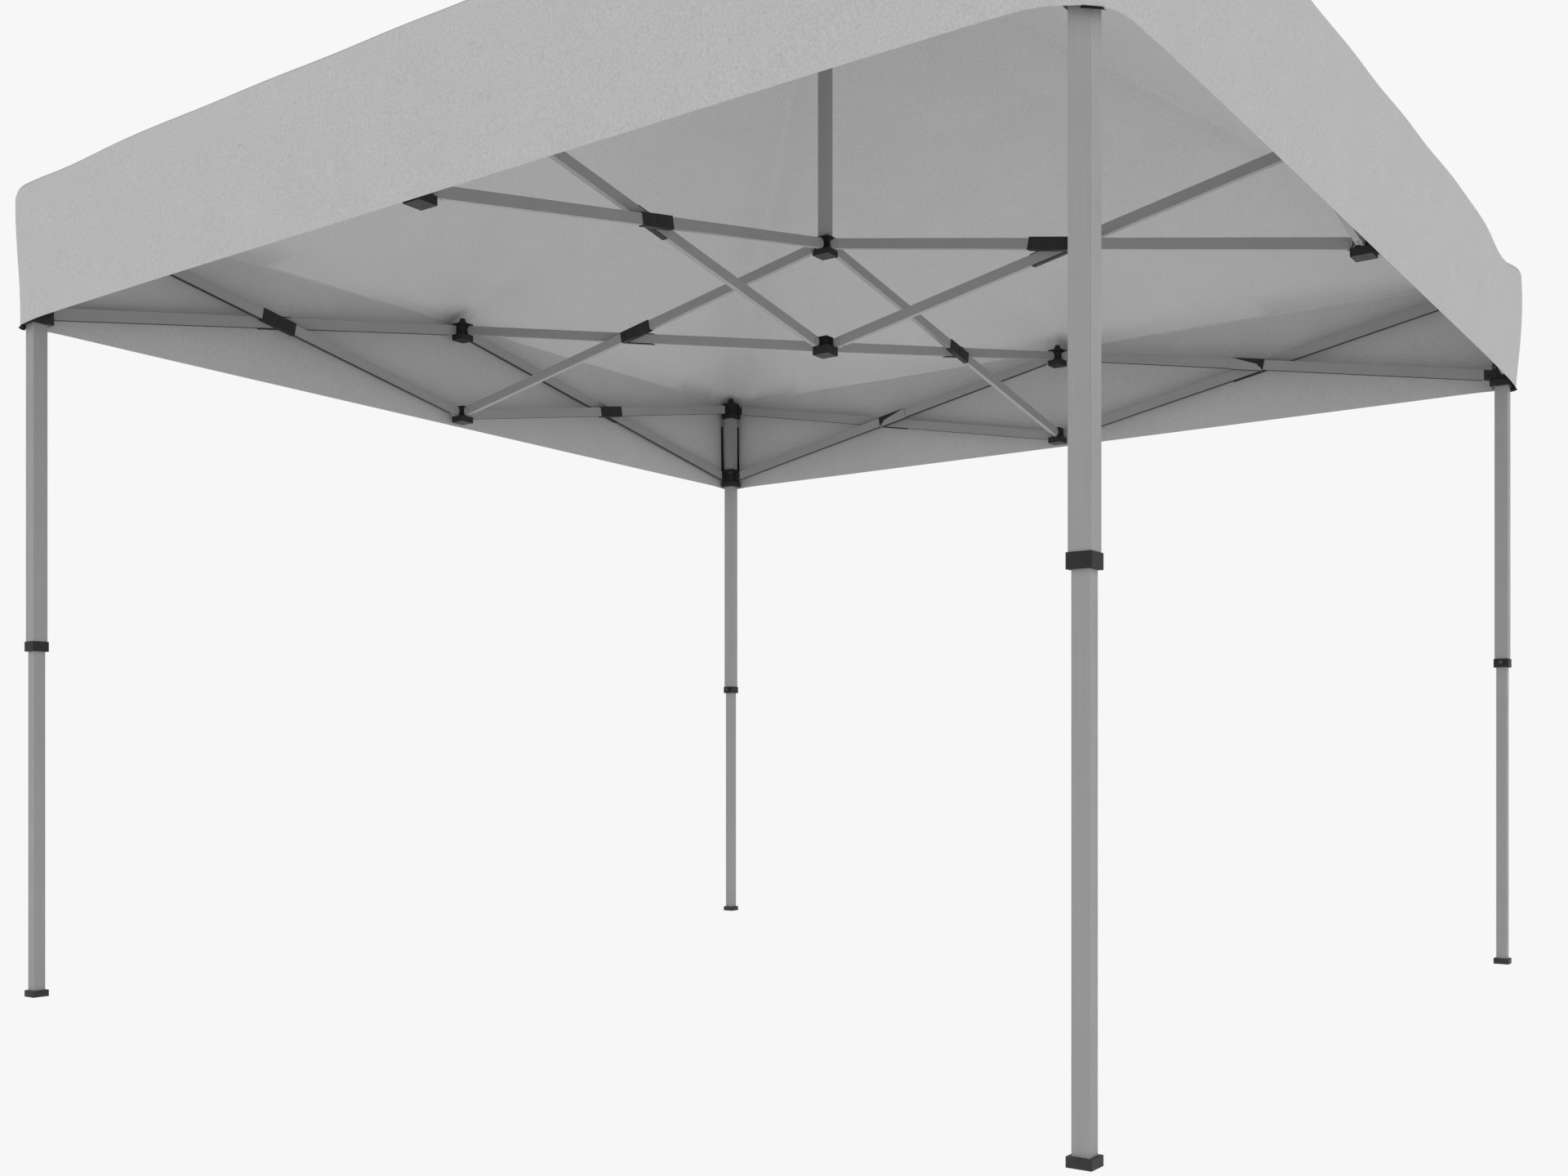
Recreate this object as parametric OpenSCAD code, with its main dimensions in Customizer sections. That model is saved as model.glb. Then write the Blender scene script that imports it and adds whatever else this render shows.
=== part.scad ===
// Folding pop up canopy: a steel scissor frame on four telescopic legs, with a
// fabric pyramid roof and valance. Millimetres, +Z up, origin on the floor under
// the peak. Bars are named by side and corner: e = +X, n = +Y, w = -X, s = -Y.

/* [Plan] */
// Distance between leg centres
span = 3000; // [2000:10:4500]
// Outer half width of the canopy at the hem
hem_half = 1532; // [1030:1:2300]
// Outer half width of the canopy at the eave
eave_half = 1570; // [1040:1:2350]

/* [Heights] */
// Height of the upper pivots
z_up = 2092; // [1600:1:2600]
// Height of the lower pivots
z_lo = 1816; // [1300:1:2400]
// Underside of the roof at the eave
z_eave = 2126; // [1700:1:2700]
// Bottom edge of the valance
z_hem = 1774; // [1400:1:2400]
// Underside of the roof at the peak
z_peak = 3034; // [2400:5:3600]
// Bottom of the upper leg tube's collar
z_collar = 911; // [600:1:1300]

/* [Bars] */
// Height of the side bars
side_h = 33; // [20:0.5:50]
// Height of the roof bars
arm_h = 28; // [20:0.5:50]
// Wall of the bar tubes
bar_wall = 1.5; // [1:0.1:3]
// Length of the sleeve at each crossing
sleeve_l = 117; // [60:1:200]
// Sleeve offset toward the middle on the bars that run along X
sleeve_shift = 46; // [0:1:50]

/* [Legs] */
// Upper leg tube, across flats
tube_up = 38; // [30:0.5:60]
// Lower leg tube, across flats
tube_lo = 30; // [20:0.5:50]
// Wall of the leg tubes
tube_wall = 1.5; // [1:0.1:3]
// King post tube, across flats
post_w = 30; // [20:0.5:50]

/* [Pivots] */
// Pivot distance from the centre of a leg or hub
e_leg = 42; // [36:1:60]
// Pivot distance from the centre of a side connector
e_mid = 36; // [30:1:60]
// Pivot pin radius
pin_r = 3.95; // [3:0.05:6]
// Hole radius around a pin
hole_r = 4; // [3.05:0.05:6.05]

/* [Hidden] */
$fn = 48;
H = span / 2;
reach = H - e_leg - e_mid;
drop = z_up - z_lo;
L = sqrt(reach * reach + drop * drop);
th = atan(drop / reach);
gap = 0.3;
// thickness ranges, measured toward the inside (sides) or the front (arms)
sN = [-7.85, 7.85];
sF = [-23.85, -8.15];
aN = [-0.85, 14];
aF = [-16, -1.15];
arm_R = 14;
side_R = 15.5;
start_r = 16;
post_foot = z_up + 26; // the king post stands on the upper hub's flange

// ---- the frames in which pieces are drawn: u along the bar, v up, w thickness
module put_arm(a, ns, z, from_mid = false) {
  rotate([0, 0, a])
    multmatrix([[from_mid ? -1 : 1, 0, 0, from_mid ? H : 0],
                [0, 0, ns, 0], [0, 1, 0, z], [0, 0, 0, 1]]) children();
}
module put_side(a, sg, z, from_leg = false) {
  rotate([0, 0, a])
    multmatrix([[0, 0, -1, H], [from_leg ? -sg : sg, 0, 0, from_leg ? sg * H : 0],
                [0, 1, 0, z], [0, 0, 0, 1]]) children();
}

// half of a bar's thickness: the lug takes the front half, the tongue the back
function back_half(w) = [w[0], (w[0] + w[1]) / 2 - gap / 2];
function front_half(w) = [(w[0] + w[1]) / 2 + gap / 2, w[1]];

// steel tongue with its riveted pin, from a connector's face out to the pivot
module tongue(face, e, low, r, w) {
  t = back_half(w);
  f = front_half(w);
  union() {
    translate([face + 0.05, low + 0.05, t[0]]) cube([e - face, r - low - 0.05, t[1] - t[0]]);
    translate([e, 0, t[0]]) cylinder(r = r, h = t[1] - t[0]);
    translate([e, 0, t[1] - 1]) cylinder(r = pin_r, h = f[1] - t[1] + 2);
    translate([e, 0, f[1] + 0.15]) cylinder(r = 7, h = 1.3);
  }
}

// hollow bar with a lug at each end, from pivot to pivot along u
module bar_tube(h, r, w, mid_r) {
  f = front_half(w);
  t = w[1] - w[0];
  difference() {
    union() {
      difference() {
        translate([start_r, -h / 2, w[0]]) cube([L - 2 * start_r, h, t]);
        translate([start_r - 1, -h / 2 + bar_wall, w[0] + bar_wall])
          cube([L - 2 * start_r + 2, h - 2 * bar_wall, t - 2 * bar_wall]);
      }
      for (q = [0, 1]) translate([q * L, 0, f[0]]) {
        cylinder(r = r, h = f[1] - f[0]);
        translate([q == 0 ? 0 : -start_r - 20, -r, 0]) cube([start_r + 20, 2 * r, f[1] - f[0]]);
      }
    }
    for (q = [0, L]) translate([q, 0, w[0] - 1]) cylinder(r = hole_r, h = t + 2);
    translate([L / 2, 0, w[0] - 1]) cylinder(r = mid_r, h = t + 2);
  }
}

// plastic U sleeve on the outer face of a bar, lips over its top and bottom
module bar_sleeve(h, w, out, shift, mid_r) {
  lip = 2.6;
  web = 2;
  x0 = L / 2 + shift - sleeve_l / 2;
  lo = out > 0 ? w[1] + 0.05 : w[0] - web;
  difference() {
    union() {
      translate([x0, -h / 2 - lip, lo]) cube([sleeve_l, h + 2 * lip, web - 0.05]);
      for (v = [-h / 2 - lip, h / 2 + 0.05])
        translate([x0, v, out > 0 ? w[0] + 0.4 : lo]) cube([sleeve_l, lip - 0.05, web + w[1] - w[0] - 0.4]);
    }
    translate([L / 2, 0, lo - 1]) cylinder(r = mid_r, h = web + 2);
  }
}

// crossing bolt: fast in the front bar, turning in the back bar
module cross_bolt(front, back) {
  translate([L / 2, 0, back[0] - 2 - 0.15]) cylinder(r = pin_r, h = front[1] - back[0] + 4.35);
  translate([L / 2, 0, front[1] + 2.1]) cylinder(r = 7, h = 1.2);
  translate([L / 2, 0, back[0] - 2 - 0.15 - 1]) cylinder(r = 6.5, h = 1);
}

// a whole bar: front ones carry the crossing bolt
module bar(h, r, w, front, other, shift) {
  bar_tube(h, r, w, hole_r);
  bar_sleeve(h, w, front ? 1 : -1, shift, hole_r);
  if (front) cross_bolt(w, other);
}

// arms run from a hub to a side connector
module arm_hi(a, ns, shift) {
  put_arm(a, ns, 0) translate([e_leg, z_up, 0]) rotate([0, 0, -th]) bar(arm_h, arm_R, aN, true, aF, shift);
}
module arm_lo(a, ns, shift) {
  put_arm(a, ns, 0) translate([e_leg, z_lo, 0]) rotate([0, 0, th]) bar(arm_h, arm_R, aF, false, aN, shift);
}
// side bars run from a side connector to a leg: a rises, b falls
module side_a(a, sg, near, shift) {
  put_side(a, sg, 0) translate([e_mid, z_lo, 0]) rotate([0, 0, th])
    bar(side_h, side_R, near ? sN : sF, near, sF, shift);
}
module side_b(a, sg, near, shift) {
  put_side(a, sg, 0) translate([e_mid, z_up, 0]) rotate([0, 0, -th])
    bar(side_h, side_R, near ? sN : sF, near, sF, shift);
}

// ---- hubs and side connectors: spool of flange, column and block
module spool(flange, flange_z, flange_t, col, block, block_z, block_t) {
  union() {
    translate([-flange / 2, -flange / 2, flange_z]) cube([flange, flange, flange_t]);
    translate([-col / 2, -col / 2, block_z]) cube([col, col, flange_z - block_z + 1]);
    translate([-block / 2, -block / 2, block_z]) cube([block, block, block_t]);
  }
}
module hub_upper() {
  color([0.15, 0.15, 0.15]) {
    spool(52, z_up + 22, 4, 18, 52, z_up - 26, 17);
    for (k = [[0, -1], [90, -1], [180, 1], [270, 1]])
      put_arm(k[0], k[1], z_up) tongue(9, e_leg, -9, arm_R, aN);
  }
}
module hub_lower() {
  color([0.15, 0.15, 0.15]) {
    spool(33, z_lo + 16, 3, 20, 52, z_lo - 34, 25);
    for (k = [[0, -1], [90, -1], [180, 1], [270, 1]])
      put_arm(k[0], k[1], z_lo) tongue(10, e_leg, -9, arm_R, aF);
  }
}
module king_post() {
  color([0.62, 0.63, 0.62]) difference() {
    translate([-post_w / 2, -post_w / 2, post_foot]) cube([post_w, post_w, z_peak - 36 - post_foot]);
    translate([-post_w / 2 + tube_wall, -post_w / 2 + tube_wall, post_foot - 1])
      cube([post_w - 2 * tube_wall, post_w - 2 * tube_wall, z_peak]);
  }
  color([0.15, 0.15, 0.15]) translate([0, 0, z_peak - 35.95]) cylinder(r1 = 30, r2 = 12, h = 22);
}
// soft cap on a connector that lifts the cloth clear of the metal
module cap(r, z, h) {
  translate([0, 0, z - 0.5]) cylinder(r1 = r, r2 = 0.55 * r, h = h + 0.5);
}
module mid_up(a, ns, near) {
  rotate([0, 0, a]) translate([H, 0, 0]) {
    spool(50, z_up + 22, 4, 30, 50, z_up - 31, 19);
    cap(15, z_up + 26, 18);
  }
  put_arm(a, ns, z_up, true) tongue(15, e_mid, -12, arm_R, aF);
  for (sg = [-1, 1]) put_side(a, sg, z_up) tongue(15, e_mid, -12, side_R, near ? sN : sF);
}
module mid_low(a, ns, near) {
  rotate([0, 0, a]) translate([H, 0, 0]) spool(33, z_lo + 16, 3, 30, 50, z_lo - 36, 20);
  put_arm(a, ns, z_lo, true) tongue(15, e_mid, -16, arm_R, aN);
  for (sg = [-1, 1]) put_side(a, sg, z_lo) tongue(15, e_mid, -16, side_R, near ? sN : sF);
}

// ---- legs, drawn for the corner at -X -Y and mirrored to the others
module at_corner(sx, sy) {
  mirror([sx > 0 ? 1 : 0, 0, 0]) mirror([0, sy > 0 ? 1 : 0, 0]) translate([-H, -H, 0]) children();
}
// a face's tongue in corner coordinates: along +Y on the x side, along +X on the y side
module corner_tongue_y(face, low, w) {
  multmatrix([[0, 0, 1, 0], [1, 0, 0, 0], [0, 1, 0, 0], [0, 0, 0, 1]]) tongue(face, e_leg, low, side_R, w);
}
module corner_tongue_x(face, low, w) {
  multmatrix([[1, 0, 0, 0], [0, 0, 1, 0], [0, 1, 0, 0], [0, 0, 0, 1]]) tongue(face, e_leg, low, side_R, w);
}
module leg_upper(sx, sy) {
  color([0.62, 0.63, 0.62]) at_corner(sx, sy) difference() {
    translate([-tube_up / 2, -tube_up / 2, z_collar + 4]) cube([tube_up, tube_up, z_up + 28 - z_collar - 4]);
    translate([-tube_up / 2 + tube_wall, -tube_up / 2 + tube_wall, z_collar])
      cube([tube_up - 2 * tube_wall, tube_up - 2 * tube_wall, 1300]);
  }
}
module leg_bracket(sx, sy) {
  o = tube_up / 2;
  color([0.15, 0.15, 0.15]) at_corner(sx, sy) {
    difference() {
      union() {
        translate([-25, -25, z_up - 32]) cube([50, 50, 64]);
        translate([-26, -26, z_up - 32]) cube([55, 55, 19]);
        cap(16, z_up + 32, 20);
      }
      translate([-o - 0.05, -o - 0.05, z_up - 38]) cube([tube_up + 0.1, tube_up + 0.1, 66.05]);
    }
    translate([0, 0, z_up]) {
      corner_tongue_y(25, -13, sN);
      corner_tongue_x(25, -13, sF);
    }
    difference() {
      translate([-21.5, -21.5, z_collar]) cube([43, 43, 26]);
      translate([-o - 0.05, -o - 0.05, z_collar + 3.95]) cube([tube_up + 0.1, tube_up + 0.1, 40]);
      translate([-tube_lo / 2 - 0.35, -tube_lo / 2 - 0.35, z_collar - 1]) cube([tube_lo + 0.7, tube_lo + 0.7, 40]);
      translate([0, 30, z_collar + 15]) rotate([90, 0, 0]) cylinder(r = 5.05, h = 20);
    }
    difference() {
      translate([-9, 21.5, z_collar + 6]) cube([18, 5, 18]);
      translate([0, 30, z_collar + 15]) rotate([90, 0, 0]) cylinder(r = 5.05, h = 20);
    }
  }
}
module leg_button(sx, sy) {
  color([0.15, 0.15, 0.15]) at_corner(sx, sy)
    translate([0, 30, z_collar + 15]) rotate([90, 0, 0]) cylinder(r = 5, h = 8);
}
module slider(sx, sy) {
  o = tube_up / 2 + 0.4;
  color([0.15, 0.15, 0.15]) at_corner(sx, sy) {
    difference() {
      union() {
        translate([-24.5, -24.5, z_lo - 41]) cube([49, 49, 71]);
        translate([-26, -26, z_lo - 41]) cube([57, 57, 19]);
      }
      translate([-o, -o, z_lo - 120]) cube([2 * o, 2 * o, 300]);
      translate([16.5, 35, z_lo + 16]) rotate([90, 0, 0]) cylinder(r = 5.05, h = 17);
    }
    translate([0, 0, z_lo]) {
      corner_tongue_y(24.5, -side_R, sF);
      corner_tongue_x(24.5, -side_R, sN);
    }
  }
}
module slider_button(sx, sy) {
  color([0.5, 0.5, 0.5]) at_corner(sx, sy)
    translate([16.5, 29, z_lo + 16]) rotate([90, 0, 0]) cylinder(r = 5, h = 6);
}
module leg_lower(sx, sy) {
  at_corner(sx, sy) {
    color([0.62, 0.63, 0.62]) difference() {
      translate([-tube_lo / 2, -tube_lo / 2, 4]) cube([tube_lo, tube_lo, 1056]);
      translate([-tube_lo / 2 + tube_wall, -tube_lo / 2 + tube_wall, 3])
        cube([tube_lo - 2 * tube_wall, tube_lo - 2 * tube_wall, 1100]);
    }
    color([0.15, 0.15, 0.15]) difference() {
      translate([-21.5, -21.5, 0]) cube([43, 43, 17]);
      translate([-tube_lo / 2 - 0.05, -tube_lo / 2 - 0.05, 3.95]) cube([tube_lo + 0.1, tube_lo + 0.1, 20]);
    }
  }
}

// ---- the fabric: four roof gores and four valance sheets
module prism(bottom, top) {
  n = len(bottom);
  polyhedron(points = concat(bottom, top), faces = concat(
    [[for (i = [0:n - 1]) i]], [[for (i = [n - 1:-1:0]) n + i]],
    [for (i = [0:n - 1]) [i, n + i, n + (i + 1) % n, (i + 1) % n]]));
}
module gore() {
  t = 3;
  s = eave_half;
  base = [[gap, 0, z_peak], [s, -s + gap, z_eave], [s, s - gap, z_eave]];
  prism(base, [for (p = base) p + [0, 0, t]]);
}
// leaning sheet from the hem out to the eave, mitred at the corners
module valance() {
  t = 2;
  hem = [[hem_half - t, -1], [hem_half, -1], [hem_half, 1], [hem_half - t, 1]];
  eave = [[eave_half - t, -1], [eave_half, -1], [eave_half, 1], [eave_half - t, 1]];
  prism([for (p = hem) [p[0], p[1] * (p[0] - gap), z_hem]],
        [for (p = eave) [p[0], p[1] * (p[0] - gap), z_eave - 0.2]]);
}
module canopy() {
  color([0.75, 0.75, 0.75]) for (a = [0, 90, 180, 270]) rotate([0, 0, a]) {
    gore();
    valance();
  }
}

// ---- one module for each node
module arm_e_hi() { color([0.5, 0.51, 0.5]) arm_hi(0, -1, -sleeve_shift); }
module arm_e_lo() { color([0.5, 0.51, 0.5]) arm_lo(0, -1, -sleeve_shift); }
module arm_n_hi() { color([0.5, 0.51, 0.5]) arm_hi(90, -1, 0); }
module arm_n_lo() { color([0.5, 0.51, 0.5]) arm_lo(90, -1, 0); }
module arm_w_hi() { color([0.5, 0.51, 0.5]) arm_hi(180, 1, -sleeve_shift); }
module arm_w_lo() { color([0.5, 0.51, 0.5]) arm_lo(180, 1, -sleeve_shift); }
module arm_s_hi() { color([0.5, 0.51, 0.5]) arm_hi(270, 1, 0); }
module arm_s_lo() { color([0.5, 0.51, 0.5]) arm_lo(270, 1, 0); }
module mid_e_up() { color([0.15, 0.15, 0.15]) mid_up(0, -1, false); }
module mid_e_low() { color([0.15, 0.15, 0.15]) mid_low(0, -1, true); }
module mid_n_up() { color([0.15, 0.15, 0.15]) mid_up(90, -1, true); }
module mid_n_low() { color([0.15, 0.15, 0.15]) mid_low(90, -1, false); }
module mid_w_up() { color([0.15, 0.15, 0.15]) mid_up(180, 1, false); }
module mid_w_low() { color([0.15, 0.15, 0.15]) mid_low(180, 1, true); }
module mid_s_up() { color([0.15, 0.15, 0.15]) mid_up(270, 1, true); }
module mid_s_low() { color([0.15, 0.15, 0.15]) mid_low(270, 1, false); }
module side_e_se_a() { color([0.5, 0.51, 0.5]) side_a(0, -1, true, 0); }
module side_e_se_b() { color([0.5, 0.51, 0.5]) side_b(0, -1, false, 0); }
module side_e_ne_a() { color([0.5, 0.51, 0.5]) side_a(0, 1, true, 0); }
module side_e_ne_b() { color([0.5, 0.51, 0.5]) side_b(0, 1, false, 0); }
module side_n_ne_a() { color([0.5, 0.51, 0.5]) side_a(90, -1, false, -sleeve_shift); }
module side_n_ne_b() { color([0.5, 0.51, 0.5]) side_b(90, -1, true, -sleeve_shift); }
module side_n_nw_a() { color([0.5, 0.51, 0.5]) side_a(90, 1, false, -sleeve_shift); }
module side_n_nw_b() { color([0.5, 0.51, 0.5]) side_b(90, 1, true, -sleeve_shift); }
module side_w_nw_a() { color([0.5, 0.51, 0.5]) side_a(180, -1, true, 0); }
module side_w_nw_b() { color([0.5, 0.51, 0.5]) side_b(180, -1, false, 0); }
module side_w_sw_a() { color([0.5, 0.51, 0.5]) side_a(180, 1, true, 0); }
module side_w_sw_b() { color([0.5, 0.51, 0.5]) side_b(180, 1, false, 0); }
module side_s_sw_a() { color([0.5, 0.51, 0.5]) side_a(270, -1, false, -sleeve_shift); }
module side_s_sw_b() { color([0.5, 0.51, 0.5]) side_b(270, -1, true, -sleeve_shift); }
module side_s_se_a() { color([0.5, 0.51, 0.5]) side_a(270, 1, false, -sleeve_shift); }
module side_s_se_b() { color([0.5, 0.51, 0.5]) side_b(270, 1, true, -sleeve_shift); }
module leg_upper_se() { leg_upper(1, -1); }
module leg_bracket_se() { leg_bracket(1, -1); }
module slider_se() { slider(1, -1); }
module slider_button_se() { slider_button(1, -1); }
module leg_lower_se() { leg_lower(1, -1); }
module leg_button_se() { leg_button(1, -1); }
module leg_upper_ne() { leg_upper(1, 1); }
module leg_bracket_ne() { leg_bracket(1, 1); }
module slider_ne() { slider(1, 1); }
module slider_button_ne() { slider_button(1, 1); }
module leg_lower_ne() { leg_lower(1, 1); }
module leg_button_ne() { leg_button(1, 1); }
module leg_upper_nw() { leg_upper(-1, 1); }
module leg_bracket_nw() { leg_bracket(-1, 1); }
module slider_nw() { slider(-1, 1); }
module slider_button_nw() { slider_button(-1, 1); }
module leg_lower_nw() { leg_lower(-1, 1); }
module leg_button_nw() { leg_button(-1, 1); }
module leg_upper_sw() { leg_upper(-1, -1); }
module leg_bracket_sw() { leg_bracket(-1, -1); }
module slider_sw() { slider(-1, -1); }
module slider_button_sw() { slider_button(-1, -1); }
module leg_lower_sw() { leg_lower(-1, -1); }
module leg_button_sw() { leg_button(-1, -1); }

hub_upper();
hub_lower();
king_post();
canopy();
arm_e_hi();
arm_e_lo();
arm_n_hi();
arm_n_lo();
arm_w_hi();
arm_w_lo();
arm_s_hi();
arm_s_lo();
mid_e_up();
mid_e_low();
mid_n_up();
mid_n_low();
mid_w_up();
mid_w_low();
mid_s_up();
mid_s_low();
side_e_se_a();
side_e_se_b();
side_e_ne_a();
side_e_ne_b();
side_n_ne_a();
side_n_ne_b();
side_n_nw_a();
side_n_nw_b();
side_w_nw_a();
side_w_nw_b();
side_w_sw_a();
side_w_sw_b();
side_s_sw_a();
side_s_sw_b();
side_s_se_a();
side_s_se_b();
leg_upper_se();
leg_bracket_se();
slider_se();
slider_button_se();
leg_lower_se();
leg_button_se();
leg_upper_ne();
leg_bracket_ne();
slider_ne();
slider_button_ne();
leg_lower_ne();
leg_button_ne();
leg_upper_nw();
leg_bracket_nw();
slider_nw();
slider_button_nw();
leg_lower_nw();
leg_button_nw();
leg_upper_sw();
leg_bracket_sw();
slider_sw();
slider_button_sw();
leg_lower_sw();
leg_button_sw();
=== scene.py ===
"""Looks of the folding pop up canopy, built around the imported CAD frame. Metres, +Z up."""

import math

import bpy
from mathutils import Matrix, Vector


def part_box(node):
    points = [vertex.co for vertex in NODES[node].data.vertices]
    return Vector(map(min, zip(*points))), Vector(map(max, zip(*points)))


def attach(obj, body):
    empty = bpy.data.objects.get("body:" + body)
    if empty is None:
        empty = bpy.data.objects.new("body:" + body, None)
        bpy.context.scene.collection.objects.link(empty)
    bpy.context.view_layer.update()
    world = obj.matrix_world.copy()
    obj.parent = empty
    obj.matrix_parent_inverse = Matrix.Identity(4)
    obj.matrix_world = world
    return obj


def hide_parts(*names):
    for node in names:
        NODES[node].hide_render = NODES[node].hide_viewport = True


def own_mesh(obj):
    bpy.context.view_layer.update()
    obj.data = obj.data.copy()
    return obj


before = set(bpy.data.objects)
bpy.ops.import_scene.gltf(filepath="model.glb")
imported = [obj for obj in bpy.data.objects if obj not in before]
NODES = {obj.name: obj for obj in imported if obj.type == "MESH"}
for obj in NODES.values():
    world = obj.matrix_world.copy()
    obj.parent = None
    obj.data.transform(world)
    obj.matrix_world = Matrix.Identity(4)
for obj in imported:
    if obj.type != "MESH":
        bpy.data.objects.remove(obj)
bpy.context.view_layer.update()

SIDES = {"e": 0, "n": 90, "w": 180, "s": 270}  # direction of each side, in degrees
NORTH_WEST = 135

# ---- places taken from the frame
leg_low, leg_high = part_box("leg_upper_ne")
HALF_SPAN = (leg_low[0] + leg_high[0]) / 2
canopy_low, canopy_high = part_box("canopy")
HEM_Z = canopy_low[2]
PEAK_Z = canopy_high[2]

# ---- shape of the fabric
CLOTH = 0.0012  # thickness of the canopy's cloth
TRIM = 0.0016  # thickness of the shade strips and corner straps
SHADE_STRIP_GAP = 0.0008  # play between the valance's inner face and a shade strip
SHADOW_STRAP_GAP = 0.0006  # and between it and a corner strap
HEM_HALF = HALF_SPAN + 0.0430  # half width at the hem, middle of a side
HEM_CORNER_HALF = HALF_SPAN + 0.0360
EAVE_HALF = HALF_SPAN + 0.0640  # half width at the eave, middle of a side
# Places and widths along a side are shares of the way from its middle, 0, to a corner, 1.
# how far the eave draws in beside the corners of each side, and how far it comes out again over the leg
EAVE_PINCH = {"e": 0.024, "n": 0.012, "w": 0.012, "s": 0.010}
PINCH_AT, PINCH_WIDTH = 0.86, 0.22
EAVE_KNOB = {"e": 0.010, "n": 0.003, "w": -0.004, "s": -0.008}
KNOB_WIDTH = 0.05
# where the eave is drawn in it also dips, by this share of the pinch
DIP_SHARE = 0.6
DIP_AT, DIP_WIDTH = 0.84, 0.13
EAVE_Z = HEM_Z + 0.3500  # height where the eave starts to turn over
EAVE_TILT = 0.008  # the eave runs a little high over the north-west leg
EAVE_RADIUS = 0.012  # fold from valance to roof, along a side
EAVE_RADIUS_CORNER = 0.045  # and over a leg
SOFT_WIDTH = 0.07  # how far that softer fold reaches along a side
EAVE_SHARE = 0.85  # share of the valance's surface that hangs; the rest turns over the eave
CORNER_R_HEM = 0.028  # corner radius in plan at the hem
CORNER_R_EAVE = 0.058  # and at the eave
ROOF_SAG = 0.012
PEAK_RADIUS = 0.004  # the roof's panels end this close to the king post's centre
PEAK_SHARE = 0.9994  # and at this share of the way up
PEAK_DROP = 0.0015  # the roof's tip stays this far below the CAD's highest point
# how far the hem hangs down at each corner, and how far each corner's eave is held up by its leg
HEM_DROOP = {"ne": 0.005, "nw": 0.005, "sw": 0.006, "se": 0.022}
DROOP_WIDTH = 0.048
EAVE_LIFT = {"ne": 0.018, "nw": 0.010, "sw": 0.012, "se": 0.023}
LIFT_WIDTH = 0.06
SHADOW_STRAP_REACH = 0.026  # black corner strap inside the hem, along each side; the part of it below the hem is painted shadow over the leg's top
SHADOW_STRAP_BELOW = 0.006  # and how far it shows below the hem
SHADE_STRIP_WIDTH = 0.010  # black strip inside the valance beside each leg, painted shade between the leg and the cloth
SHADE_STRIP_OFFSET = 0.014  # from the leg's centre line to the strip's, toward the side's middle
SHADE_STRIP_SPAN = (0.16, 0.66)  # shares of the valance's surface between which a strip runs
# half angles that share out the roof between a side's middle and a corner, in degrees
ROOF_CUTS = [0, 9, 23, 34, 42, 48]

# ---- finishes on the frame
# bars and tongues are black plastic within these distances in x and in y
END_FITTING = 0.052  # from a leg's centre
HUB_FITTING = 0.021  # from the hubs' centre
SLEEVE_REACH = 0.106  # polygons within this distance of a bar's crossing belong to its black sleeve
SIDE_BLOCK_HALF = 0.025  # half width of a side connector's black block
HUB_BLOCK_HALF = 0.026  # and of a hub's
FOOT_TOP = 0.0175  # a foot reaches up to here
CAP_DEPTH = 0.06  # depth of the king post's black cap


# ---------------------------------------------------------------- camera, light and stage
CAMERA_PLACE = (2.526, -3.7095, 0.6151)
CAMERA_TURN = 35.76  # degrees about the vertical; the camera looks level
CAMERA_LENS = 36.0  # mm, on a sensor of the same width
CAMERA_RISE = 0.1120  # upward shift of the picture, as a share of its width


def add_camera():
    data = bpy.data.cameras.new("camera")
    data.lens = CAMERA_LENS
    data.sensor_width = CAMERA_LENS
    data.shift_y = CAMERA_RISE
    data.clip_end = 500.0
    camera = bpy.data.objects.new("camera", data)
    camera.location = CAMERA_PLACE
    camera.rotation_euler = (math.radians(90), 0, math.radians(CAMERA_TURN))
    bpy.context.scene.collection.objects.link(camera)
    bpy.context.scene.camera = camera


BACKGROUND = (0.930, 0.930, 0.930 * 1.003, 1)  # linear colour of the studio's white
STUDIO_LIGHT = (0.985, 0.985, 0.985, 1)  # what the sky and the floor send onto the canopy
FLOOR_HALF = 240.0
FLOOR_Z = -0.0005


def studio_shader(tree, output_kind, light_kind):
    """The camera sees the background's colour; everything else is lit by the studio's light."""
    nodes, links = tree.nodes, tree.links
    nodes.clear()
    out = nodes.new(output_kind)
    seen = nodes.new(light_kind)
    seen.inputs["Color"].default_value = BACKGROUND
    light = nodes.new(light_kind)
    light.inputs["Color"].default_value = STUDIO_LIGHT
    path = nodes.new("ShaderNodeLightPath")
    mix = nodes.new("ShaderNodeMixShader")
    links.new(path.outputs["Is Camera Ray"], mix.inputs[0])
    links.new(light.outputs[0], mix.inputs[1])
    links.new(seen.outputs[0], mix.inputs[2])
    links.new(mix.outputs[0], out.inputs[0])


def add_world():
    world = bpy.data.worlds.new("studio")
    bpy.context.scene.world = world
    world.use_nodes = True
    studio_shader(world.node_tree, "ShaderNodeOutputWorld", "ShaderNodeBackground")


def add_floor():
    mesh = bpy.data.meshes.new("floor")
    corners = [(-1, -1), (1, -1), (1, 1), (-1, 1)]
    mesh.from_pydata([(x * FLOOR_HALF, y * FLOOR_HALF, FLOOR_Z) for x, y in corners], [], [(0, 1, 2, 3)])
    floor = bpy.data.objects.new("floor", mesh)
    bpy.context.scene.collection.objects.link(floor)
    material = bpy.data.materials.new("studio_floor")
    material.use_nodes = True
    studio_shader(material.node_tree, "ShaderNodeOutputMaterial", "ShaderNodeEmission")
    mesh.materials.append(material)


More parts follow.
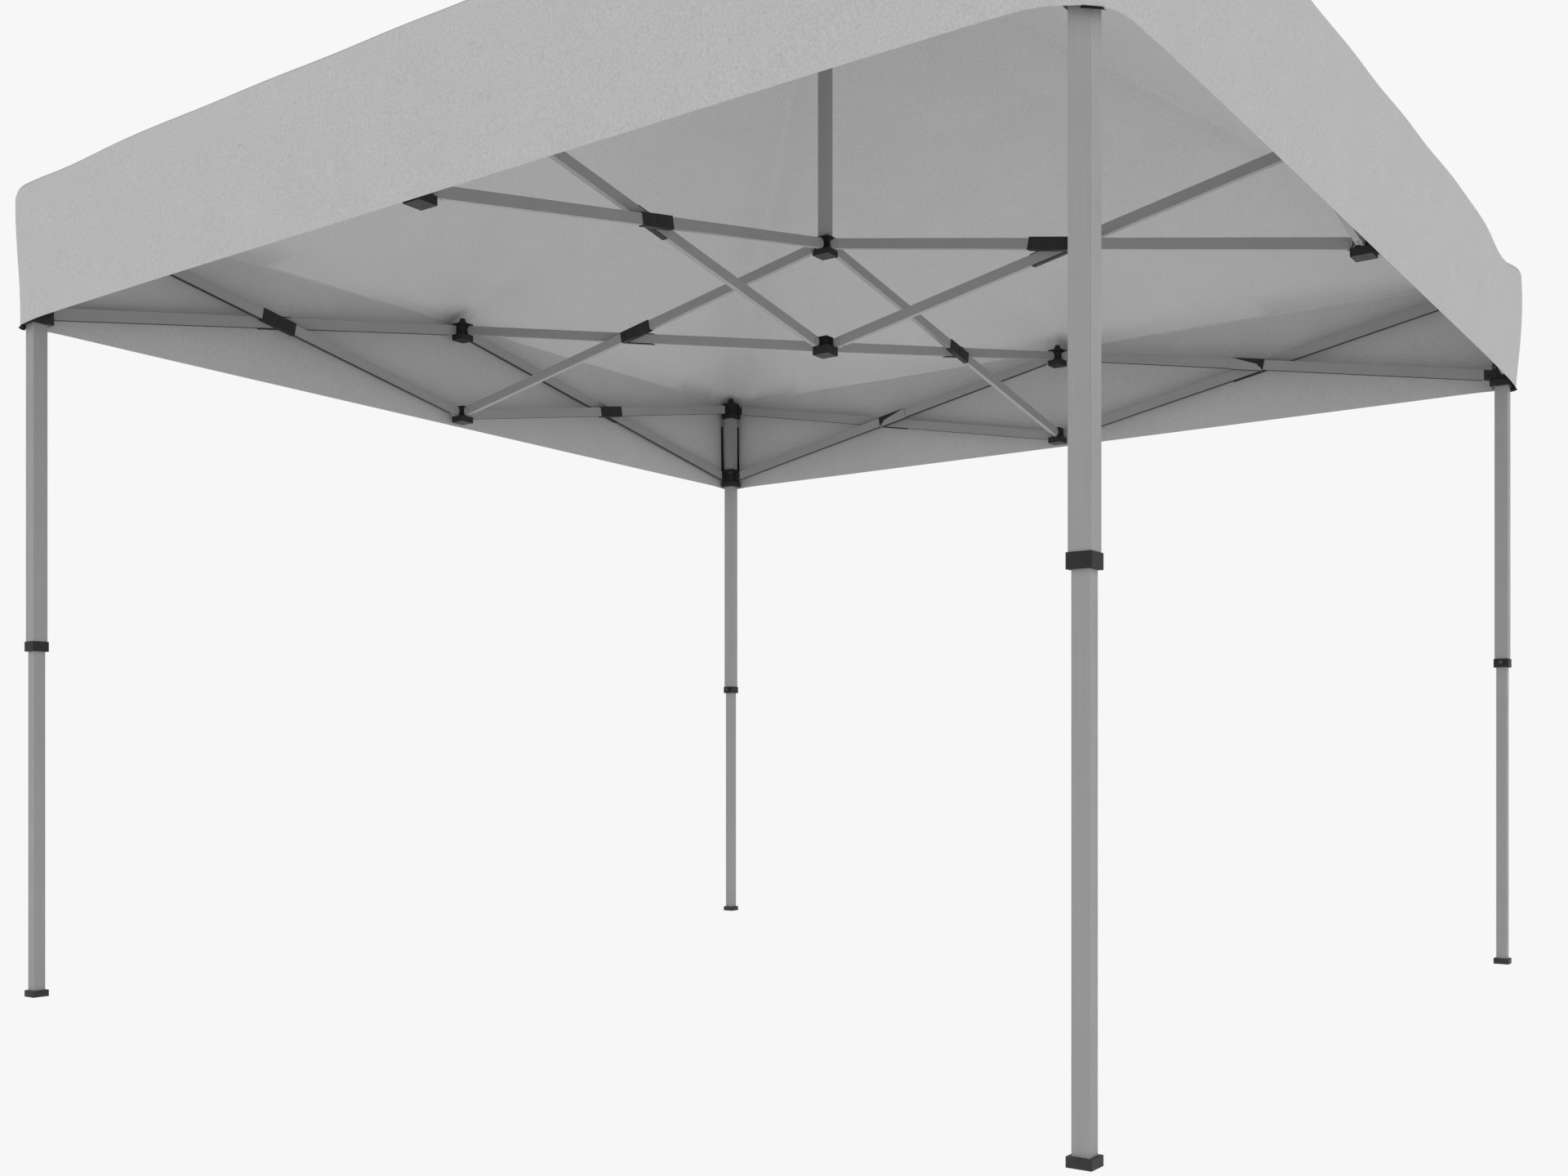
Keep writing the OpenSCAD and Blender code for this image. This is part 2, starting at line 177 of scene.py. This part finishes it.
# ---------------------------------------------------------------- materials
# linear values of the base colours
FABRIC_DARK, FABRIC_PALE = 0.422, 0.536
CLOTH_TONES = {"painted_light": 0.64, "painted_shadow": 0.10, "seam": 0.16}  # tones the cloth's attributes turn it toward: painted light on the roof's underside near the eave, painted shadow where the roof rests on the frame, and darker seams
LEG_VALUE = 0.290
BAR_VALUE = 0.280
BAR_SHADED = 0.040  # painted shade on the underside of the side bars
BAR_LIGHT = 0.27  # underside of the roof bars
STEEL_VALUE = 0.06
BLACK_VALUE = 0.020
FOOT_VALUE = 0.031
# black of the strips and straps put inside the valances as painted shade beside the legs and under the hems
SHADE_TRIM_VALUE = 0.010

EVEN = [(0.3, 0.0), (0.7, 1.0)]  # ramp that spreads a noise over its whole range


def grey(value, tint=(1.0, 1.0, 1.0)):
    return (value * tint[0], value * tint[1], value * tint[2], 1.0)


class Shader:
    """A Principled material with helpers that add and join nodes."""

    def __init__(self, name, roughness, specular):
        self.material = bpy.data.materials.new(name)
        self.material.use_nodes = True
        self.nodes = self.material.node_tree.nodes
        self.links = self.material.node_tree.links
        self.bsdf = self.nodes["Principled BSDF"]
        self.bsdf.inputs["Roughness"].default_value = roughness
        self.bsdf.inputs["Specular IOR Level"].default_value = specular
        self.coords = self.nodes.new("ShaderNodeTexCoord").outputs["Object"]

    def link(self, a, b):
        self.links.new(a, b)

    def mapped(self, scale):
        node = self.nodes.new("ShaderNodeMapping")
        node.inputs["Scale"].default_value = scale
        self.link(self.coords, node.inputs["Vector"])
        return node.outputs[0]

    def noise(self, scale, detail=3.0, roughness=0.5, vector=None):
        node = self.nodes.new("ShaderNodeTexNoise")
        node.inputs["Scale"].default_value = scale
        node.inputs["Detail"].default_value = detail
        node.inputs["Roughness"].default_value = roughness
        self.link(vector or self.coords, node.inputs["Vector"])
        return node.outputs["Fac"]

    def threads(self, direction, scale, vector=None):
        """Slightly uneven parallel threads."""
        node = self.nodes.new("ShaderNodeTexWave")
        node.wave_type = "BANDS"
        node.bands_direction = direction
        node.inputs["Scale"].default_value = scale
        node.inputs["Distortion"].default_value = 1.2
        node.inputs["Detail"].default_value = 1.0
        self.link(vector or self.coords, node.inputs["Vector"])
        return node.outputs["Fac"]

    def ramp(self, source, stops):
        node = self.nodes.new("ShaderNodeValToRGB")
        ramp = node.color_ramp
        while len(ramp.elements) < len(stops):
            ramp.elements.new(0.5)
        for element, (place, value) in zip(ramp.elements, stops):
            element.position = place
            element.color = (value, value, value, 1)
        self.link(source, node.inputs[0])
        return node.outputs[0]

    def math(self, kind, a, b):
        node = self.nodes.new("ShaderNodeMath")
        node.operation = kind
        for socket, value in zip(node.inputs, (a, b)):
            if hasattr(value, "is_linked"):
                self.link(value, socket)
            else:
                socket.default_value = value
        return node.outputs[0]

    def mix(self, factor, a, b, blend="MIX"):
        node = self.nodes.new("ShaderNodeMix")
        node.data_type = "RGBA"
        node.blend_type = blend
        node.clamp_factor = True
        for socket, value in ((node.inputs[0], factor), (node.inputs[6], a), (node.inputs[7], b)):
            if hasattr(value, "is_linked"):
                self.link(value, socket)
            else:
                socket.default_value = value
        return node.outputs[2]

    def bump(self, height, strength, distance, normal=None):
        node = self.nodes.new("ShaderNodeBump")
        node.inputs["Strength"].default_value = strength
        node.inputs["Distance"].default_value = distance
        self.link(height, node.inputs["Height"])
        if normal is not None:
            self.link(normal, node.inputs["Normal"])
        return node.outputs[0]

    def rounded(self, radius):
        node = self.nodes.new("ShaderNodeBevel")
        node.samples = 4
        node.inputs["Radius"].default_value = radius
        return node.outputs[0]


def fabric_material():
    """Coated woven polyester: fine weave, mottled tone, dark flecks and seams, painted shadow where it rests
    on the frame, painted light under the roof near the eave.
    """
    s = Shader("canopy_fabric", roughness=0.92, specular=0.12)
    warp = s.threads("DIAGONAL", 260.0, s.mapped((1, 1, 0.05)))
    weft = s.threads("Z", 330.0)
    weave = s.math("ADD", warp, weft)
    grain = s.noise(190.0, detail=4.0, roughness=0.7)
    cloud = s.noise(7.0, detail=4.0, roughness=0.6)
    flecks = s.ramp(s.noise(85.0, detail=2.0, roughness=0.5), [(0.0, 0.0), (0.265, 0.0), (0.30, 1.0)])
    tone = s.mix(s.ramp(grain, EVEN), grey(FABRIC_DARK), grey(FABRIC_PALE))
    tone = s.mix(s.ramp(cloud, EVEN), tone, grey(0.965), "MULTIPLY")
    tone = s.mix(flecks, grey(0.40), tone)
    # painted light, painted shadow and the seams' darker thread, each where its attribute says
    for name, value in CLOTH_TONES.items():
        attribute = s.nodes.new("ShaderNodeAttribute")
        attribute.attribute_name = name
        tone = s.mix(attribute.outputs["Fac"], tone, grey(value))
    s.link(tone, s.bsdf.inputs["Base Color"])
    height = s.math("ADD", s.math("MULTIPLY", weave, 0.35), grain)
    s.link(s.bump(height, 0.25, 0.0006), s.bsdf.inputs["Normal"])
    return s.material


def near_posts(s, leg_reach, hub_reach):
    """1 inside a square around the centre line of any leg or of the hubs, 0 outside."""
    parts = s.nodes.new("ShaderNodeSeparateXYZ")
    s.link(s.coords, parts.inputs[0])
    out = [s.math("ABSOLUTE", parts.outputs[i], 0.0) for i in range(2)]
    away = [s.math("ABSOLUTE", s.math("SUBTRACT", o, HALF_SPAN), 0.0) for o in out]
    at_leg = s.math("LESS_THAN", s.math("MAXIMUM", away[0], away[1]), leg_reach)
    at_hub = s.math("LESS_THAN", s.math("MAXIMUM", out[0], out[1]), hub_reach)
    return s.math("MAXIMUM", at_leg, at_hub)


def metal_material(name, value, streak, scale, fitting=0.0):
    """Painted tube: faint streaks, mottling and, with fitting, black plastic near the legs and hubs."""
    s = Shader(name, roughness=0.48, specular=0.35)
    streaks = s.noise(6.0, detail=5.0, roughness=0.6, vector=s.mapped(scale))
    cloud = s.noise(9.0, detail=4.0, roughness=0.6)
    tint = (0.985, 1.0, 0.985)
    dark, pale = grey(value * (1 - streak), tint), grey(value * (1 + streak), tint)
    tone = s.mix(s.ramp(streaks, EVEN), dark, pale)
    tone = s.mix(s.ramp(cloud, EVEN), tone, grey(0.95), "MULTIPLY")
    if fitting:
        tone = s.mix(near_posts(s, fitting, HUB_FITTING), tone, grey(BLACK_VALUE))
    s.link(tone, s.bsdf.inputs["Base Color"])
    rough = s.ramp(cloud, [(0.3, 0.42), (0.7, 0.56)])
    s.link(rough, s.bsdf.inputs["Roughness"])
    s.link(s.bump(streaks, 0.08, 0.0004, s.rounded(0.0012)), s.bsdf.inputs["Normal"])
    return s.material


def plastic_material(name, value):
    """Moulded black nylon: fine pebble grain, slightly greyed where it has been handled."""
    s = Shader(name, roughness=0.55, specular=0.14)
    pebble = s.noise(900.0, detail=2.0)
    cloud = s.noise(40.0, detail=4.0, roughness=0.65)
    tone = s.mix(s.ramp(cloud, [(0.35, 0.0), (0.75, 1.0)]), grey(value), grey(value * 1.5))
    s.link(tone, s.bsdf.inputs["Base Color"])
    s.link(s.ramp(cloud, [(0.3, 0.48), (0.7, 0.66)]), s.bsdf.inputs["Roughness"])
    s.link(s.bump(pebble, 0.15, 0.0003, s.rounded(0.0018)), s.bsdf.inputs["Normal"])
    return s.material


# ---------------------------------------------------------------- finishes on the CAD nodes
def in_foot(normal, points):
    return int(max(p[2] for p in points) < FOOT_TOP)


def in_cap(normal, points):
    return int(min(p[2] for p in points) > PEAK_Z - CAP_DEPTH)


def first(normal, points):
    return 0


def set_materials(node, materials, choose=first):
    """Gives a CAD node these materials; choose(normal, points) says which one a polygon takes."""
    mesh = NODES[node].data
    mesh.materials.clear()
    for material in materials:
        mesh.materials.append(material)
    points = [v.co for v in mesh.vertices]
    for polygon in mesh.polygons:
        polygon.material_index = choose(polygon.normal, [points[i] for i in polygon.vertices])


def dress_bar(node, face, under, black):
    """Bars: the sleeve and bolt at the crossing are black, the underside takes its own material, which on
    most side bars is painted shade.
    """
    low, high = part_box(node)
    along = 0 if high[0] - low[0] > high[1] - low[1] else 1
    middle = (low[along] + high[along]) / 2

    def choose(normal, points):
        if max(abs(p[along] - middle) for p in points) < SLEEVE_REACH:
            return 2
        return 1 if normal.z < -0.8 else 0

    set_materials(node, [face, under, black], choose)


def dress_spool(node, centre, half, black, bar):
    """Connectors: the block, column and flange are black, the steel tongues take the bars' finish."""

    def choose(normal, points):
        far = max(max(abs(p[0] - centre[0]), abs(p[1] - centre[1])) for p in points)
        return 1 if far > half + 0.002 else 0

    set_materials(node, [black, bar], choose)


def dress_frame(leg, bar, underside_shade, under_arm, black, foot, steel):
    """Gives every CAD node its finish; the side bars of the east side have no painted shade on their
    underside.
    """
    for side, angle in SIDES.items():
        x = HALF_SPAN * round(math.cos(math.radians(angle)))
        y = HALF_SPAN * round(math.sin(math.radians(angle)))
        for level in ("up", "low"):
            dress_spool(f"mid_{side}_{level}", (x, y), SIDE_BLOCK_HALF, black, bar)
        for level in ("hi", "lo"):
            dress_bar(f"arm_{side}_{level}", bar, under_arm, black)
    for node in NODES:
        if node.startswith("side_"):
            dress_bar(node, bar, bar if node.startswith("side_e_") else underside_shade, black)
        elif node.startswith("hub_"):
            dress_spool(node, (0, 0), HUB_BLOCK_HALF, black, bar)
        elif node.startswith(("leg_bracket_", "slider_", "leg_button_")):
            set_materials(node, [steel if "button" in node else black])
        elif node.startswith("leg_upper_"):
            set_materials(node, [leg])
        elif node.startswith("leg_lower_"):
            set_materials(node, [leg, foot], in_foot)
        elif node == "king_post":
            set_materials(node, [leg, black], in_cap)


# ---------------------------------------------------------------- fabric
def bell(x, width):
    return math.exp(-((x / width) ** 2))


def from_middle(angle):
    """Signed angle from the middle of the nearest side, in radians."""
    return math.radians((angle + 45) % 90 - 45)


def side_place(angle):
    """Distance of a direction from the nearest side's middle, 0 there and 1 at a corner."""
    return abs(math.tan(from_middle(angle)))


def by_side(values, angle):
    """A value given for each side, run evenly into the next side's near the corners."""
    turn = (angle % 360) / 90
    index = int(turn + 0.5) % 4
    other = (index + (1 if turn - round(turn) > 0 else -1)) % 4
    share = 0.5 * max(0.0, (side_place(angle) - 0.9) / 0.1)
    names = list(SIDES)
    return values[names[index]] * (1 - share) + values[names[other]] * share


def at_corner(values, angle):
    """The value given for the corner nearest to a direction."""
    return values[("ne", "nw", "sw", "se")[int((angle % 360) // 90)]]


def square_radius(angle, half, corner):
    """Polar radius of a square with rounded corners."""
    off = from_middle(angle)
    c = half - corner
    if side_place(angle) * half <= c:
        return half / math.cos(off)
    reach = math.cos(off) + abs(math.sin(off))
    return c * reach + math.sqrt(max(c * c * reach * reach - 2 * c * c + corner * corner, 0.0))


def polar(angle, r, z):
    a = math.radians(angle)
    return (r * math.cos(a), r * math.sin(a), z)


def eave_half(angle):
    t = side_place(angle)
    pinch, knob = by_side(EAVE_PINCH, angle), by_side(EAVE_KNOB, angle)
    return EAVE_HALF - pinch * bell(t - PINCH_AT, PINCH_WIDTH) + knob * bell(t - 1.0, KNOB_WIDTH)


def eave_z(angle):
    t = side_place(angle)
    dip = DIP_SHARE * by_side(EAVE_PINCH, angle)
    tilt = EAVE_TILT * math.cos(math.radians(angle - NORTH_WEST))
    lift = at_corner(EAVE_LIFT, angle)
    return EAVE_Z + tilt - dip * bell(t - DIP_AT, DIP_WIDTH) + lift * bell(t - 1.0, LIFT_WIDTH)


def hem_half(angle):
    return HEM_HALF + (HEM_CORNER_HALF - HEM_HALF) * side_place(angle) ** 6


def hem_z(angle):
    return HEM_Z + 0.001 - at_corner(HEM_DROOP, angle) * bell(side_place(angle) - 1.0, DROOP_WIDTH)


def ripple(angle, height):
    """Slow ripples in the hanging cloth, strongest at half height, and finer ones toward the eave."""
    a = math.radians(angle)
    slow = 0.0022 * math.sin(9 * a + 0.7) * math.sin(math.pi * height)
    return slow + 0.0012 * math.sin(23 * a) * height


def eave_radius(angle):
    """Radius of the fold from valance to roof, softer over the legs."""
    return EAVE_RADIUS + (EAVE_RADIUS_CORNER - EAVE_RADIUS) * bell(side_place(angle) - 1.0, SOFT_WIDTH)


def valance_surface(angle, share):
    """The hanging side: share runs 0 to 1 from the hem up and over the eave's rounding."""
    rise = min(share / EAVE_SHARE, 1.0)
    turn = max(share - EAVE_SHARE, 0.0) / (1 - EAVE_SHARE) * roof_normal(angle)
    swell = math.sin(max(rise, 0.0) * math.pi / 2) ** 1.3
    half = hem_half(angle) + (eave_half(angle) - hem_half(angle)) * swell + ripple(angle, rise)
    corner = CORNER_R_HEM + (CORNER_R_EAVE - CORNER_R_HEM) * rise
    radius = eave_radius(angle)
    z = hem_z(angle) + (eave_z(angle) + EAVE_RADIUS - radius - hem_z(angle)) * rise
    r = square_radius(angle, half - radius * (1 - math.cos(turn)), corner)
    return polar(angle, r, z + radius * math.sin(turn))


def roof_normal(angle):
    """Angle of the roof's normal above level where it meets the eave."""
    return math.pi / 2 - math.atan2(PEAK_Z - eave_z(angle), eave_half(angle))


def roof_surface(angle, share):
    """The roof: share runs 0 to 1 from the eave up to the peak."""
    x, y, z = valance_surface(angle, 1.0)
    r = math.hypot(x, y)
    sag = ROOF_SAG * math.sin(math.pi * share) + ROOF_SAG * 1.5 * share * (1 - share) ** 5
    ruck = 0.0012 * math.sin(8 * math.radians(angle)) * math.sin(math.pi * share)
    rise = (PEAK_Z - PEAK_DROP - z) * share
    return polar(angle, r * (1 - share) + PEAK_RADIUS * share, z + rise - sag + ruck)


def corner_directions(count):
    """Directions that share the rounded corner out evenly, up to 45 degrees."""
    centre = HEM_CORNER_HALF - CORNER_R_HEM
    directions = []
    for i in range(count + 1):
        turn = math.radians(45.0 * i / count)
        x, y = centre + CORNER_R_HEM * math.cos(turn), centre + CORNER_R_HEM * math.sin(turn)
        directions.append(math.degrees(math.atan2(y, x)))
    return directions


def column_directions(low, high):
    """Directions of the columns of cloth between two directions, finer toward the corners."""
    quarter = []
    for a, b in zip(ROOF_CUTS[:4], ROOF_CUTS[1:5]):
        steps = max(2, round((b - a) / 1.6))
        quarter += [a + (b - a) * i / steps for i in range(steps)]
    quarter += [42.0, 42.6, 43.2, 43.6, 43.9, 44.2] + [a for a in corner_directions(8) if a > 44.3]
    marks = set(round(m, 6) for m in quarter + [90 - m for m in quarter])
    marks |= set(-m for m in marks)
    return [m for m in sorted(marks) if low - 1e-6 <= m <= high + 1e-6]


def cross(u, v):
    return (u[1] * v[2] - u[2] * v[1], u[2] * v[0] - u[0] * v[2], u[0] * v[1] - u[1] * v[0])


def normal_at(surface, angle, share):
    """Outward normal of a surface."""
    step_a, step_s = 0.02, 0.004
    before, after = max(share - step_s, 0.0), min(share + step_s, 1.0)
    across = [b - a for a, b in zip(surface(angle - step_a, share), surface(angle + step_a, share))]
    up = [b - a for a, b in zip(surface(angle, before), surface(angle, after))]
    n = cross(across, up)
    size = math.hypot(*n)
    return [v / size for v in n]


LEG_SHADOW, LEG_SHADOW_HALF = 0.375, 0.034  # strength and half width of the painted shadow over a leg
SIDE_SHADOW, SIDE_SHADOW_HALF = 0.675, 0.036  # and over a side connector
SHADOW_DEPTH = 0.022  # how far the painted shadows reach in from the eave


def painted_contact_shadow(point):
    """How dark the painted shadow is where the roof rests on a connector or a bracket: thin wings along the
    crease.
    """
    x, y, z = point
    along, out = sorted((abs(x), abs(y)))
    above = bell(max(0.0, EAVE_Z - z), 0.02)
    in_from_eave = (EAVE_HALF - out) / SHADOW_DEPTH
    at_leg = LEG_SHADOW * bell(math.hypot((EAVE_HALF - along) / LEG_SHADOW_HALF, in_from_eave), 1.0)
    at_middle = SIDE_SHADOW * bell(math.hypot(along / SIDE_SHADOW_HALF, in_from_eave), 1.0)
    return max(at_leg, at_middle) * above


def painted_eave_light(point):
    """Painted light: how much paler the underside of the roof is made close to the eave, against the shade
    in the crease there.
    """
    x, y, z = point
    if z < EAVE_Z + EAVE_RADIUS:
        return 0.0
    return 0.62 * math.exp(-(EAVE_HALF - max(abs(x), abs(y))) / 0.11)


SEAM_DEPTH = 0.45  # how strongly the seams darken the cloth


def eave_seam(angle, share):
    """The seam that joins roof and valance, half way round the fold of the eave."""
    return SEAM_DEPTH * bell(share - (EAVE_SHARE + 1) / 2, 0.018)


def hip_seam(angle, share):
    """The seam up each hip of the roof."""
    return SEAM_DEPTH if abs(abs(from_middle(angle)) - math.pi / 4) < 1e-4 else 0.0


def outline(width, height):
    """The indices around a grid of points, row by row from the lowest."""
    bottom = list(range(width))
    right = [i * width + width - 1 for i in range(1, height)]
    top = [(height - 1) * width + j for j in range(width - 2, -1, -1)]
    left = [i * width for i in range(height - 2, 0, -1)]
    return bottom + right + top + left


def cloth(name, surface, directions, shares, material, thickness=CLOTH, inset=0.0, seam=None):
    """A closed sheet of cloth that follows a surface, with real thickness and square edges."""
    outer, inner, seams = [], [], []
    for share in shares:
        for angle in directions:
            seams.append(seam(angle, share) if seam else 0.0)
            point, normal = surface(angle, share), normal_at(surface, angle, share)
            outer.append([p - n * inset for p, n in zip(point, normal)])
            inner.append([p - n * (inset + thickness) for p, n in zip(point, normal)])
    width, height, count = len(directions), len(shares), len(outer)
    faces = []
    for i in range(height - 1):
        for j in range(width - 1):
            a = i * width + j
            faces.append((a, a + 1, a + 1 + width, a + width))
            faces.append(tuple(count + k for k in (a + width, a + 1 + width, a + 1, a)))
    smooth = [True] * len(faces)
    edge = outline(width, height)
    for a, b in zip(edge, edge[1:] + edge[:1]):
        faces.append((b, a, a + count, b + count))
        smooth.append(False)
    mesh = bpy.data.meshes.new(name)
    mesh.from_pydata(outer + inner, [], faces)
    mesh.polygons.foreach_set("use_smooth", smooth)
    mesh.set_sharp_from_angle(angle=math.radians(50))
    mesh.materials.append(material)
    plain = [0.0] * count
    # inner face: painted shadow where the roof rests on the frame and painted light near the eave; outer
    # face: seams
    attributes = {
        "painted_shadow": plain + [painted_contact_shadow(p) for p in inner],
        "painted_light": plain + [painted_eave_light(p) for p in inner],
        "seam": seams + plain,
    }
    for key, values in attributes.items():
        mesh.attributes.new(key, "FLOAT", "POINT").data.foreach_set("value", values)
    obj = bpy.data.objects.new(name, mesh)
    bpy.context.scene.collection.objects.link(obj)
    return obj


def length(points):
    return sum(math.dist(a, b) for a, b in zip(points, points[1:]))


def flat_size(surface, directions, shares):
    """(width, length, area) of a surface laid flat."""
    rows = [[surface(a, s) for a in directions] for s in shares]
    middle = len(directions) // 2
    area = 0.0
    for lower, upper in zip(rows, rows[1:]):
        for a, b, c, d in zip(lower, lower[1:], upper[1:], upper):
            diagonals = [q - p for p, q in zip(a, c)], [q - p for p, q in zip(b, d)]
            area += math.hypot(*cross(*diagonals)) / 2
    return max(length(row) for row in rows), length([row[middle] for row in rows]), area


def fold_with_side(obj, side):
    """A piece of a valance: it comes in with the side connector."""
    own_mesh(obj)
    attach(obj, f"mid_{side}_up")


def trim_columns(angle, sign, low, high, steps):
    """Directions across a shade strip or corner strap that lies between two distances from its side's
    middle.
    """
    start, stop = (math.degrees(math.atan2(place, HEM_CORNER_HALF)) for place in (low, high))
    return sorted(angle + sign * (start + (stop - start) * i / steps) for i in range(steps + 1))


def add_trim(side, angle, sign, material):
    """The black strip beside a leg, painted shade between leg and cloth, and the black strap inside the
    corner, whose edge below the hem is painted shadow, at one end of a valance.
    """
    end = "ab"[sign > 0]
    middle = HALF_SPAN - SHADE_STRIP_OFFSET
    across = trim_columns(angle, sign, middle - SHADE_STRIP_WIDTH / 2, middle + SHADE_STRIP_WIDTH / 2, 3)
    low, high = SHADE_STRIP_SPAN
    up = [low + (high - low) * i / 10 for i in range(11)]
    name = f"valance_shade_strip_{side}_{end}"
    shade_strip = cloth(name, valance_surface, across, up, material, TRIM, CLOTH + SHADE_STRIP_GAP)
    across = trim_columns(angle, sign, HEM_CORNER_HALF - SHADOW_STRAP_REACH, HEM_CORNER_HALF, 8)
    drop = SHADOW_STRAP_BELOW / (EAVE_Z - HEM_Z) * EAVE_SHARE
    up = [-drop, 0.0, 0.02, 0.04, 0.06]
    name = f"valance_shadow_strap_{side}_{end}"
    shadow_strap = cloth(name, valance_surface, across, up, material, TRIM, CLOTH + SHADOW_STRAP_GAP)
    for piece in (shade_strip, shadow_strap):
        fold_with_side(piece, side)
    return [shade_strip, shadow_strap]


def add_valance(side, angle, fabric, shade_trim_material):
    directions = [angle + c for c in column_directions(-45, 45)]
    hanging = [EAVE_SHARE * i / 12 for i in range(13)]
    shares = hanging + [EAVE_SHARE + (1 - EAVE_SHARE) * i / 6 for i in range(1, 7)]
    obj = cloth(f"valance_{side}", valance_surface, directions, shares, fabric, seam=eave_seam)
    fold_with_side(obj, side)
    trim = add_trim(side, angle, -1, shade_trim_material) + add_trim(side, angle, 1, shade_trim_material)
    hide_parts("canopy")
    width, tall, _ = flat_size(valance_surface, directions, shares)


def add_roof(side, base, fabric):
    """The roof's share of one side: its middle panel, the panels beside it, and the corner after it."""
    cuts = ROOF_CUTS
    spans = [(-cuts[1], cuts[1]), (cuts[4], cuts[5])]
    for a, b in zip(cuts[1:4], cuts[2:5]):
        spans += [(a, b), (-b, -a)]
    shares = [1 - (1 - i / 24) ** 1.25 for i in range(24)] + [PEAK_SHARE]
    for index, (low, high) in enumerate(spans):
        directions = [base + c for c in column_directions(low, high)]
        obj = cloth(f"roof_{side}_{index}", roof_surface, directions, shares, fabric, seam=hip_seam)
        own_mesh(obj)
        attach(obj, "canopy_top")
        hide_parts("canopy")
        width, tall, area = flat_size(roof_surface, directions, shares)


add_camera()
add_world()
add_floor()
bpy.context.scene.view_settings.view_transform = "Standard"

ALONG_LEG = (60, 60, 1.2)  # scale of the drawing streaks on the upright tubes
ALONG_BAR = (20, 20, 20)  # and of the mottling on the slanting bars
FABRIC = fabric_material()
LEG = metal_material("leg_tube", LEG_VALUE, 0.03, ALONG_LEG)
BAR = metal_material("bar_tube", BAR_VALUE, 0.03, ALONG_BAR, fitting=END_FITTING)
# darker copy of the bars' paint: painted shade on the side bars' undersides
UNDERSIDE_SHADE = metal_material("bar_tube_shaded", BAR_SHADED, 0.03, ALONG_BAR, fitting=END_FITTING)
UNDER_ARM = metal_material("bar_tube_light", BAR_LIGHT, 0.03, ALONG_BAR)
BLACK = plastic_material("black_nylon", BLACK_VALUE)
FOOT = plastic_material("foot_nylon", FOOT_VALUE)
# black trim inside the valances: painted shade beside the legs and under the hems
SHADE_TRIM = plastic_material("black_shade_trim", SHADE_TRIM_VALUE)
STEEL = metal_material("button_steel", STEEL_VALUE, 0.02, ALONG_LEG)
dress_frame(LEG, BAR, UNDERSIDE_SHADE, UNDER_ARM, BLACK, FOOT, STEEL)

for side_name, side_angle in SIDES.items():
    add_valance(side_name, side_angle, FABRIC, SHADE_TRIM)
    add_roof(side_name, side_angle, FABRIC)
